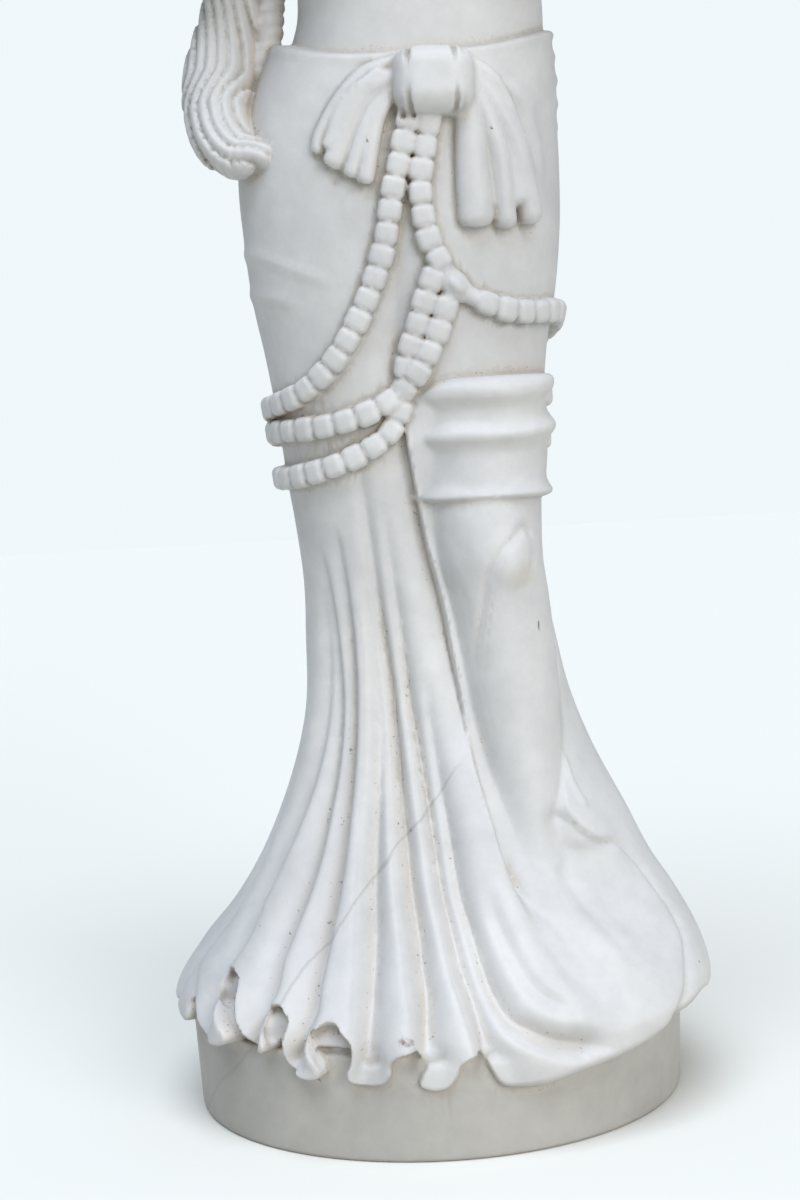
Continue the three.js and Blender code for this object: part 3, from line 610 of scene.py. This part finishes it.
KNOT = np.array([42.5, -113.0, 988.5])
stone(KNOT, np.array([1.0, 0.03, -0.03]), np.array([0.0, -1.0, 0.12]), (38, 32, 31), 21, 4.0)
for x, r in ((10, 2.6), (20, 2.0), (63, 2.0), (72, 2.4)):
    inward = 3.0 if x < 40 else -3.0
    tube([[x + inward, -116, 1023, r], [x, -134, 1015, r], [x - inward * 0.4, -144, 1001, r],
          [x - inward * 0.6, -146, 986, r], [x - inward * 0.2, -140, 969, r], [x + inward, -125, 957, r]], k=3.0,
         remove=True)

# ---------------------------------------------------------------- the torso
TORSO = [
    [980, -118, 152, -100, 96], [1060, -86, 156, -95, 80], [1100, -82, 154, -90, 74], [1140, -82, 148, -88, 74],
    [1190, -92, 144, -92, 82], [1240, -104, 142, -96, 92], [1290, -112, 142, -98, 98], [1340, -122, 148, -92, 100],
    [1375, -124, 146, -80, 96], [1400, -104, 124, -68, 88], [1422, -72, 92, -56, 76], [1442, -46, 62, -44, 64],
]
rows = rows_between(985, 1440)
edges = curve(TORSO, rows)
AL, ZL = np.meshgrid(DEG, rows)
body = section(edges[:, None, :], DEG[None, :])
breast = 38 * bell(ZL, 1266, 40) * (bell(AL, -36, 20) + bell(AL, 36, 20))
spine = 9 * bell(np.abs(AL), 180, 12) * ease(1420, 1340, ZL)
belly = 3 * bell(AL, 0, 8) * ease(1100, 1140, ZL) * ease(1235, 1190, ZL)
navel = 6 * bell(AL, 0, 4) * bell(ZL, 1118, 6)
body = body + breast - spine - belly - navel
torso_centre = np.column_stack([(edges[:, 0] + edges[:, 1]) / 2, 0 * rows])
radial(rows, torso_centre, body, k=2.0)
wrap = rows_between(1196, 1336)
pick = (rows >= wrap[0] - 0.01) & (rows <= wrap[-1] + 0.01)
pleats = 1.6 * np.abs(np.sin((ZL[pick] - 1266) / 13 + 0.8 * np.sin(np.radians(AL[pick] * 2)))) ** 0.8
lower = 1212 + 8 * np.cos(np.radians(2 * DEG))
upper = 1318 - 14 * bell(np.abs(DEG), 0, 16) + 4 * np.cos(np.radians(2 * DEG))
radial(wrap, torso_centre[pick], body[pick] + 4.5 + pleats, low=lower, high=upper, k=1.5, edge=3.0)

# ---------------------------------------------------------------- arms and hands
for arm in [
    [[-92, 10, 1384, 32], [-138, 6, 1366, 45], [-168, -12, 1290, 40], [-192, -30, 1200, 34], [-200, -38, 1172, 36],
     [-184, -58, 1168, 38], [-140, -92, 1198, 38], [-84, -126, 1240, 32], [-24, -147, 1286, 23]],
    [[112, 10, 1384, 32], [158, 6, 1366, 45], [188, -12, 1290, 40], [210, -28, 1200, 34], [215, -36, 1170, 36],
     [200, -54, 1162, 38], [150, -84, 1160, 38], [92, -108, 1168, 32], [34, -122, 1180, 23]],
]:
    tube(arm, k=9.0, across=(0, 1, 0))


def hand(wrist, forward, up, mirror):
    """A relaxed open hand lying on the breast: palm, four fingers and thumb."""
    wrist, forward, up = (np.asarray(v, float) for v in (wrist, forward, up))
    forward /= np.linalg.norm(forward)
    side = np.cross(up, forward) * mirror
    side /= np.linalg.norm(side)
    out = np.cross(forward, side) * mirror
    place = lambda f, s, o: wrist + forward * f + side * s + out * o
    wide = tuple(side)
    tube([[*place(-6, 0, 0), 24, 17], [*place(28, 0, 0), 33, 14], [*place(58, 0, -2), 34, 12]], k=6.0, across=wide)
    for s, length, r in [(-26, 52, 8), (-9, 62, 8.8), (9, 58, 8.8), (26, 44, 7.6)]:
        tube([[*place(54, s * 0.9, -1), r + 1], [*place(54 + length * 0.5, s * 1.0, 1), r],
              [*place(54 + length, s * 1.02, -7), r - 2]], k=2.5)
    tube([[*place(12, -26, 0), 13], [*place(40, -44, 2), 11], [*place(66, -46, 0), 8]], k=4.0)


hand((-24, -147, 1286), (0.78, 0.3, 0.62), (0.55, -0.75, -0.35), 1)
hand((34, -122, 1180), (-0.96, 0.16, 0.16), (0.0, -1.0, 0.1), 1)

# ---------------------------------------------------------------- neck, head and face
tube([[8, 14, 1395, 72, 60], [8, 10, 1440, 55, 54], [8, 6, 1490, 49, 50], [8, 2, 1550, 50, 52]], k=14.0,
     across=(1, 0, 0))
ellipsoid((8, 0, 1630), (73, 92, 84), k=4)
ellipsoid((8, -30, 1562), (54, 58, 56), k=18)
ellipsoid((8, -74, 1520), (19, 16, 14), k=16)
for s in (-1, 1):
    ellipsoid((8 + 38 * s, -52, 1578), (22, 26, 26), k=16)
    ellipsoid((8 + 30 * s, -97, 1614), (17, 13, 10), k=9, remove=True)
    ellipsoid((8 + 30 * s, -77, 1612), (15, 14, 13.5), k=2)
    tube([[8 + 14 * s, -88, 1610, 3], [8 + 22 * s, -93, 1618, 3.4], [8 + 34 * s, -91, 1619, 3.4],
          [8 + 46 * s, -80, 1611, 3]], k=2.0)
    tube([[8 + 15 * s, -88, 1608, 2.2], [8 + 24 * s, -90, 1603, 2.6], [8 + 35 * s, -87, 1603, 2.6],
          [8 + 46 * s, -79, 1609, 2.2]], k=2.0)
    tube([[8 + 10 * s, -95, 1628, 5], [8 + 26 * s, -94, 1634, 6], [8 + 44 * s, -82, 1632, 6],
          [8 + 56 * s, -66, 1622, 5]], k=9.0)
    ellipsoid((8 + 9 * s, -98, 1581), (7, 8, 6.5), k=4)
    tube([[8, -96, 1558, 5, 4], [8 + 7 * s, -96.5, 1559, 4.6, 4], [8 + 22 * s, -86, 1553, 2.2, 2.6]], k=2.5)
    tube([[8, -95, 1547, 5.4, 5], [8 + 9 * s, -93, 1547.5, 5, 4.6], [8 + 22 * s, -86, 1552, 2.2, 2.4]], k=2.5)
tube([[8, -88, 1632, 8, 8], [8, -98, 1608, 8, 9], [8, -106, 1588, 9, 9], [8, -104, 1583, 9, 8]], k=7.0,
     across=(1, 0, 0))
tube([[8 - 20, -90, 1552.5, 1.4], [8, -103, 1553, 1.6], [8 + 20, -90, 1552.5, 1.4]], k=1.5, remove=True)

# ---------------------------------------------------------------- hair
HAIR = [
    [1556, 8, 52, 52, 40], [1585, 8, 28, 79, 68], [1620, 8, 16, 86, 88], [1655, 8, 6, 87, 98], [1690, 8, 6, 73, 86],
    [1710, 8, 8, 48, 56], [1719, 8, 8, 22, 26],
]
rows = rows_between(1560, 1722)
hair = curve(HAIR, np.minimum(rows, 1719))
radius = section(np.stack([-hair[:, 2], hair[:, 2], -hair[:, 3], hair[:, 3]], -1)[:, None, :], DEG[None, :])
AL, ZL = np.meshgrid(DEG, rows)
px = radius * np.sin(np.radians(AL))
py = -radius * np.cos(np.radians(AL)) + hair[:, 1:2]
psi = np.degrees(np.arctan2(px, ZL - 1612))  # angle round the axis from brow to nape
wave = psi / 6.5 + 0.55 * np.sin(py / 15 + np.abs(psi) / 30)
radius = radius + 2.6 * np.abs(np.sin(np.pi * wave)) ** 0.7 - 3.0
radius -= 5 * bell(px, 0, 4) * ease(1650, 1690, ZL) * ease(40, 0, py)  # parting
hairline = 1672 - 84 * ease(8, 78, np.abs(DEG)) - 8 * ease(80, 110, np.abs(DEG)) - 12 * ease(110, 150, np.abs(DEG))
radial(rows, hair[:, :2], radius, low=hairline, k=2.0, edge=6.0)
for n in range(40):  # beaded circlet
    a = 2 * math.pi * n / 40
    at = np.array([8 + 86 * math.sin(a), 6 - 97 * math.cos(a), 1668 - 8 * math.cos(a)])
    out = np.array([math.sin(a), -math.cos(a), 0.2])
    stone(at, np.array([math.cos(a), math.sin(a), 0.0]), out, (7.2, 5.5, 5.5), 4.5, 1.0)


def bun_relief(u, v, s):
    return 2.2 * np.abs(np.sin(np.arctan2(v, u) * 4 + s / 9)) ** 0.7 - 1.2


tube([[8, 74, 1604, 42, 44], [8, 102, 1600, 40, 42], [8, 122, 1598, 24, 26]], k=3.0, across=(1, 0, 0),
     relief=bun_relief)


def tress_relief(u, v, left):
    """Strands about 11 mm wide that sway from side to side down the tress; left is what remains to its end."""
    sway = 30 * ease(240, 122, left) - 20 * ease(122, 78, left) + 14 * np.sin(left / 62) * ease(230, 300, left)
    return 4.4 * np.abs(np.sin(np.pi * (u - sway) / 11.3)) ** 0.7 - 3.4


tube([[8, 86, 1572, 44, 30], [2, 108, 1480, 66, 34], [-26, 122, 1400, 76, 34], [-70, 122, 1310, 70, 34],
      [-112, 94, 1225, 57, 33], [-134, 52, 1150, 44, 32], [-146, 14, 1085, 33, 30], [-162, -14, 1020, 36, 32],
      [-163, -36, 968, 33, 30], [-149, -55, 940, 25, 24], [-124, -72, 935, 14, 13]],
     k=1.5, steps=70, across=(1, 0, 0.7), relief=tress_relief)


def lock_relief(u, v, s):
    return 2.6 * np.abs(np.sin(np.pi * s / 15 + 0.8 * np.arctan2(v, u))) ** 0.8 - 1.2


tube([[-98, 66, 1180, 20], [-112, 30, 1110, 18], [-113, 14, 1085, 16], [-116, -2, 1050, 15], [-124, -12, 1020, 12]],
     k=1.5, steps=16, relief=lock_relief)


# ---------------------------------------------------------------- field to mesh
def mesh_from_field():
    """Surface nets: one point in each cell that the surface crosses, joined across every crossed edge."""
    solid = field < 0
    nz, ny, nx = (n - 1 for n in field.shape)
    full = np.ones((nz, ny, nx), bool)
    none = np.zeros((nz, ny, nx), bool)
    for dz in (0, 1):
        for dy in (0, 1):
            for dx in (0, 1):
                corner = solid[dz : dz + nz, dy : dy + ny, dx : dx + nx]
                full &= corner
                none |= corner
    cells = np.argwhere(none & ~full)
    del full, none
    number = np.full((nz, ny, nx), -1, np.int32)
    number[tuple(cells.T)] = np.arange(len(cells))
    total = np.zeros((len(cells), 3))
    count = np.zeros(len(cells))
    corners = [np.array(c) for c in np.ndindex(2, 2, 2)]
    for a in corners:
        for axis in range(3):
            if a[axis]:
                continue
            b = a.copy()
            b[axis] = 1
            fa = field[tuple((cells + a).T)]
            fb = field[tuple((cells + b).T)]
            crossed = (fa < 0) != (fb < 0)
            t = np.where(crossed, fa / np.where(crossed, fa - fb, 1), 0)
            spot = np.tile(a.astype(float), (len(cells), 1))
            spot[:, axis] = t
            total += spot * crossed[:, None]
            count += crossed
    points = (cells + total / count[:, None])[:, ::-1] * PITCH + LOW
    quads = []
    for axis in range(3):
        one, two = [i for i in range(3) if i != axis]
        cut_a = [slice(1, -1)] * 3
        cut_a[axis] = slice(0, -1)
        cut_b = [slice(1, -1)] * 3
        cut_b[axis] = slice(1, None)
        here, there = solid[tuple(cut_a)], solid[tuple(cut_b)]
        where = np.argwhere(here != there)
        goes_out = here[tuple(where.T)]
        offset = np.ones(3, int)
        offset[axis] = 0
        where = where + offset
        ring = []
        for da, db in ((0, 0), (1, 0), (1, 1), (0, 1)):
            cell = where.copy()
            cell[:, one] -= da
            cell[:, two] -= db
            ring.append(number[tuple(cell.T)])
        ring = np.stack(ring, 1)
        flip = goes_out if axis != 1 else ~goes_out
        ring[flip] = ring[flip][:, ::-1]
        quads.append(ring)
    return points, np.concatenate(quads)


def sample_field(p):
    """Distance at any points, in millimetres."""
    q = (p - LOW) / PITCH
    q = np.clip(q, 0, np.array([len(xs), len(ys), len(zs)]) - 1.001)
    i = q.astype(int)
    f = q - i
    value = np.zeros(len(p))
    for c in np.ndindex(2, 2, 2):
        weight = np.prod([f[:, n] if c[n] else 1 - f[:, n] for n in range(3)], axis=0)
        value += weight * field[i[:, 2] + c[2], i[:, 1] + c[1], i[:, 0] + c[0]]
    return value


def make_mesh(name, points, faces):
    mesh = bpy.data.meshes.new(name)
    mesh.vertices.add(len(points))
    mesh.vertices.foreach_set("co", (points / 1000).astype(np.float32).ravel())
    mesh.loops.add(faces.size)
    mesh.loops.foreach_set("vertex_index", faces.astype(np.int32).ravel())
    mesh.polygons.add(len(faces))
    mesh.polygons.foreach_set("loop_start", np.arange(0, faces.size, faces.shape[1], dtype=np.int32))
    mesh.update(calc_edges=True)
    return mesh


points, quads = mesh_from_field()
dense = bpy.data.objects.new("dense", make_mesh("dense", points, quads))
bpy.context.collection.objects.link(dense)
hidden = np.clip(0.1 + 0.8 * ease(-20, 70, points[:, 1]) + 0.4 * ease(1080, 1130, points[:, 2]), 0, 1)
group = dense.vertex_groups.new(name="hidden")
grade = np.round(hidden * 16).astype(int)
for n in range(1, 17):
    group.add(np.flatnonzero(grade == n).tolist(), n / 16, "REPLACE")
thin = dense.modifiers.new("thin", "DECIMATE")
thin.ratio = min(1.0, TRIANGLES / (2 * len(quads)))
thin.vertex_group = "hidden"
thin.vertex_group_factor = 4e-4  # how much more is taken away where the group is strong
ready = dense.evaluated_get(bpy.context.evaluated_depsgraph_get())
mesh = bpy.data.meshes.new_from_object(ready)
bpy.data.objects.remove(dense)
mesh.name = "marble_statue"
for polygon in mesh.polygons:
    polygon.use_smooth = True
statue = bpy.data.objects.new("marble_statue", mesh)
bpy.context.collection.objects.link(statue)
print("triangles", sum(len(p.vertices) - 2 for p in mesh.polygons))

# how deep each point lies in the carving, at two scales; the marble's colour uses these to paint shade into creases and
# hollows
co = np.empty(3 * len(mesh.vertices), np.float32)
mesh.vertices.foreach_get("co", co)
co = co.reshape(-1, 3).astype(float) * 1000
normals = np.empty(3 * len(mesh.vertices), np.float32)
mesh.vertices.foreach_get("normal", normals)
normals = normals.reshape(-1, 3)
slope = np.stack([sample_field(co + step) - sample_field(co - step) for step in np.eye(3) * 0.8 * PITCH], -1)
slope /= np.linalg.norm(slope, axis=1, keepdims=True) + 1e-9
good = np.sum(slope * normals, 1, keepdims=True) > 0.6
normals = np.where(good, slope, normals)
mesh.normals_split_custom_set_from_vertices(normals.tolist())
on_plinth = ease(251, 248.5, np.hypot(co[:, 0], co[:, 1])) * ease(106, 99, co[:, 2])
mesh.attributes.new("plinth", "FLOAT", "POINT").data.foreach_set("value", on_plinth.astype(np.float32))
for name, reach in (("crevice", 5.0), ("hollow", 18.0)):
    depth = np.clip(1 - sample_field(co + normals * reach) / reach, 0, 1)
    mesh.attributes.new(name, "FLOAT", "POINT").data.foreach_set("value", depth.astype(np.float32))

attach(statue, "root")
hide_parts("statue")


# ---------------------------------------------------------------- materials
def nodes_of(name):
    material = bpy.data.materials.new(name)
    material.use_nodes = True
    tree = material.node_tree
    return material, tree, tree.nodes["Principled BSDF"]


def noise(tree, source, scale, detail, rough=0.5, distortion=0.0):
    n = tree.nodes.new("ShaderNodeTexNoise")
    n.inputs["Scale"].default_value = scale
    n.inputs["Detail"].default_value = detail
    n.inputs["Roughness"].default_value = rough
    n.inputs["Distortion"].default_value = distortion
    tree.links.new(source, n.inputs["Vector"])
    return n.outputs["Fac"]


def ramp(tree, source, stops):
    r = tree.nodes.new("ShaderNodeValToRGB")
    while len(r.color_ramp.elements) < len(stops):
        r.color_ramp.elements.new(0.5)
    for element, (position, colour) in zip(r.color_ramp.elements, stops):
        element.position = position
        element.color = (*colour, 1) if len(colour) == 3 else colour
    tree.links.new(source, r.inputs["Fac"])
    return r.outputs["Color"]


def grey(v):
    return (v, v, v)


def mix(tree, factor, a, b, kind="MIX"):
    m = tree.nodes.new("ShaderNodeMix")
    m.data_type = "RGBA"
    m.blend_type = kind
    for socket, value in ((m.inputs["Factor"], factor), (m.inputs["A"], a), (m.inputs["B"], b)):
        if isinstance(value, (int, float)):
            socket.default_value = value
        elif isinstance(value, tuple):
            socket.default_value = (*value, 1)
        else:
            tree.links.new(value, socket)
    return m.outputs["Result"]


# Plane of the grey vein, in metres, and the stone's marks: place, size, colour, strength, raggedness.
VEIN_NORMAL = (-0.7686, 0.1243, 0.6275)
VEIN_PLACE = 0.1774
MARKS = [
    ((-0.033, -0.249, 0.114), 0.0125, (0.10, 0.035, 0.015), 0.95, 0.009),
    ((0.254, -0.100, 0.135), 0.003, (0.03, 0.035, 0.05), 0.9, 0.0),
    ((0.243, -0.110, 0.151), 0.002, (0.08, 0.07, 0.06), 0.8, 0.0),
    ((0.095, -0.250, 0.105), 0.002, (0.05, 0.05, 0.05), 0.9, 0.0),
    ((-0.167, -0.117, 0.199), 0.003, (0.08, 0.07, 0.06), 0.7, 0.003),
    ((-0.159, -0.173, 0.161), 0.002, (0.08, 0.07, 0.06), 0.8, 0.0),
    ((0.053, -0.092, 0.520), 0.002, (0.85, 0.85, 0.82), 0.9, 0.0),
    ((0.095, -0.106, 0.526), 0.022, (0.36, 0.33, 0.22), 0.35, 0.006),
    ((0.141, -0.116, 0.281), 0.010, (0.20, 0.24, 0.19), 0.4, 0.010),
    ((0.175, -0.100, 0.258), 0.008, (0.20, 0.24, 0.19), 0.4, 0.010),
]

# the marble's colour: its own tone, grain, vein, stains and grime, with painted shade in its creases and hollows
marble, tree, shader = nodes_of("marble_wear_and_painted_shade")
where = tree.nodes.new("ShaderNodeTexCoord").outputs["Object"]


def attribute(name):
    a = tree.nodes.new("ShaderNodeAttribute")
    a.attribute_name = name
    return a.outputs["Fac"]


def math_node(tree, kind, a, b=0.0):
    n = tree.nodes.new("ShaderNodeMath")
    n.operation = kind
    for socket, value in zip(n.inputs, (a, b)):
        if isinstance(value, (int, float)):
            socket.default_value = value
        else:
            tree.links.new(value, socket)
    return n.outputs[0]


def distance_to(point):
    n = tree.nodes.new("ShaderNodeVectorMath")
    n.operation = "DISTANCE"
    n.inputs[1].default_value = point
    tree.links.new(where, n.inputs[0])
    return n.outputs["Value"]


def spot(colour, point, size, tint, strength=1.0, ragged=0.0):
    """Tints a small round patch, or a ragged one."""
    away = distance_to(point)
    if ragged:
        away = math_node(tree, "ADD", away, math_node(tree, "MULTIPLY", noise(tree, where, 160, 3, 0.7), ragged))
    inside = ramp(tree, math_node(tree, "DIVIDE", away, size * 2), [(0.42, grey(strength)), (0.55, grey(0))])
    return mix(tree, inside, colour, tint)


cloud = ramp(tree, noise(tree, where, 5.0, 6, 0.6, 0.6), [(0.35, (0.44, 0.432, 0.418)), (0.62, (0.51, 0.499, 0.476))])
mottle = ramp(tree, noise(tree, where, 38, 5, 0.7), [(0.3, grey(0.90)), (0.7, grey(1.0))])
colour = mix(tree, 1.0, cloud, mottle, "MULTIPLY")
drab = ramp(tree, attribute("plinth"), [(0.0, grey(1)), (1.0, (0.73, 0.71, 0.665))])
colour = mix(tree, 1.0, colour, drab, "MULTIPLY")
# creases, found by how deep they lie in the carving, are darkened towards brown in patches: partly grime caught there,
# partly painted shade
crevice = ramp(tree, attribute("crevice"), [(0.10, grey(0)), (0.55, grey(1))])
# how deep each point lies in a broad hollow, which drives the painted shade below
hollow = ramp(tree, attribute("hollow"), [(0.25, grey(0)), (0.9, grey(1))])
patchy = ramp(tree, noise(tree, where, 11, 4, 0.6), [(0.35, grey(0.35)), (0.65, grey(1))])
grime_and_crevice_shade = mix(tree, 1.0, crevice, patchy, "MULTIPLY")
colour = mix(tree, grime_and_crevice_shade, colour, (0.27, 0.245, 0.205))
# painted shade: the deep hollows are darkened up to 45 per cent towards a warm tan
soft = mix(tree, 1.0, hollow, grey(0.45), "MULTIPLY")
colour = mix(tree, soft, colour, (0.50, 0.44, 0.36))

# the grey vein that runs through the folds
dot = tree.nodes.new("ShaderNodeVectorMath")
dot.operation = "DOT_PRODUCT"
dot.inputs[1].default_value = VEIN_NORMAL
tree.links.new(where, dot.inputs[0])
wander = math_node(tree, "MULTIPLY", math_node(tree, "SUBTRACT", noise(tree, where, 14, 4, 0.6), 0.5), 0.02)
off = math_node(tree, "ADD", math_node(tree, "SUBTRACT", dot.outputs["Value"], VEIN_PLACE), wander)
off = math_node(tree, "ABSOLUTE", off)
vein = ramp(tree, math_node(tree, "MULTIPLY", off, 100), [(0.0, grey(0.5)), (0.22, grey(0))])
xyz = tree.nodes.new("ShaderNodeSeparateXYZ")
tree.links.new(where, xyz.inputs[0])
below_knee = ramp(tree, xyz.outputs["Z"], [(0.335, grey(1)), (0.352, grey(0))])
in_front = ramp(tree, math_node(tree, "ADD", xyz.outputs["Y"], 0.5), [(0.45, grey(1)), (0.5, grey(0))])
vein = mix(tree, 1.0, mix(tree, 1.0, vein, below_knee, "MULTIPLY"), in_front, "MULTIPLY")
colour = mix(tree, vein, colour, (0.25, 0.23, 0.20))

# dark specks of dirt caught in the folds, and the marks
specks = ramp(tree, noise(tree, where, 260, 2, 0.5), [(0.66, grey(0)), (0.72, grey(0.7))])
trapped = ramp(tree, attribute("hollow"), [(0.35, grey(0)), (0.6, grey(1))])
colour = mix(tree, mix(tree, 1.0, specks, trapped, "MULTIPLY"), colour, (0.10, 0.09, 0.08))
for point, size, tint, strength, ragged in MARKS:
    colour = spot(colour, point, size, tint, strength, ragged)
tree.links.new(colour, shader.inputs["Base Color"])
shader.inputs["Roughness"].default_value = 0.52
shader.inputs["Specular IOR Level"].default_value = 0.35
shader.inputs["Subsurface Weight"].default_value = 0.12
shader.inputs["Subsurface Radius"].default_value = (0.012, 0.010, 0.008)
shader.inputs["Subsurface Scale"].default_value = 1.0
bump = tree.nodes.new("ShaderNodeBump")
bump.inputs["Strength"].default_value = 0.25
bump.inputs["Distance"].default_value = 0.0012
tree.links.new(noise(tree, where, 60, 8, 0.65), bump.inputs["Height"])
tree.links.new(bump.outputs["Normal"], shader.inputs["Normal"])
mesh.materials.clear()
mesh.materials.append(marble)

# ---------------------------------------------------------------- floor, light and camera
FLOOR_HALF = 9000.0
corners = np.array([[x * FLOOR_HALF, y * FLOOR_HALF, 0.0] for x, y in ((-1, -1), (1, -1), (1, 1), (-1, 1))])
floor_mesh = make_mesh("floor", corners, np.array([[0, 1, 2, 3]]))
floor = bpy.data.objects.new("floor", floor_mesh)
bpy.context.collection.objects.link(floor)
paper, tree, shader = nodes_of("pale_floor")
shader.inputs["Base Color"].default_value = (0.690, 0.675, 0.615, 1)
shader.inputs["Roughness"].default_value = 1.0
shader.inputs["Specular IOR Level"].default_value = 0.0
floor_mesh.materials.append(paper)
floor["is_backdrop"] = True

scene = bpy.context.scene
world = bpy.data.worlds.new("studio")
scene.world = world
world.use_nodes = True
# a bright backdrop is seen, and a dimmer room gives the fill light, so that the carving keeps its shade
backdrop = world.node_tree.nodes["Background"]
backdrop.inputs["Color"].default_value = (0.875, 0.935, 0.96, 1)
fill = world.node_tree.nodes.new("ShaderNodeBackground")
fill.inputs["Color"].default_value = (0.42, 0.47, 0.52, 1)
seen = world.node_tree.nodes.new("ShaderNodeLightPath").outputs["Is Camera Ray"]
either = world.node_tree.nodes.new("ShaderNodeMixShader")
surround = world.node_tree.nodes["World Output"].inputs["Surface"]
for output, socket in ((seen, either.inputs[0]), (fill.outputs[0], either.inputs[1]),
                       (backdrop.outputs[0], either.inputs[2]), (either.outputs[0], surround)):
    world.node_tree.links.new(output, socket)


def lamp(name, towards, strength, softness, colour):
    """A very large soft light, far away: towards is the direction that it comes from."""
    light = bpy.data.lights.new(name, "SUN")
    light.energy = strength * math.pi
    light.angle = math.radians(softness)
    light.color = colour
    holder = bpy.data.objects.new(name, light)
    bpy.context.collection.objects.link(holder)
    holder.rotation_euler = Vector(towards).to_track_quat("Z", "Y").to_euler()


lamp("sky", (-0.1, -0.45, 1.0), 0.85, 45, (0.88, 0.97, 1.14))
lamp("side", (0.6, -1.0, 0.38), 0.62, 35, (1.0, 0.97, 0.95))

camera_data = bpy.data.cameras.new("camera")
camera = bpy.data.objects.new("camera", camera_data)
bpy.context.collection.objects.link(camera)
camera_data.lens = 66.0
camera_data.sensor_width = 36.0
camera_data.sensor_fit = "AUTO"
camera.location = (-0.015, -2.2, 0.700)
CAMERA_DOWN, CAMERA_LEAN = 5.3, -3.2  # degrees
looking = Euler((math.radians(90 - CAMERA_DOWN), 0, 0)).to_matrix()
camera.rotation_euler = (looking @ Matrix.Rotation(math.radians(CAMERA_LEAN), 3, "Z")).to_euler()
scene.camera = camera
scene.view_settings.view_transform = "Standard"

size = {"cad": [list(map(float, c)) for c in cad_box], "visual": [list(map(float, c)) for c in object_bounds()]}
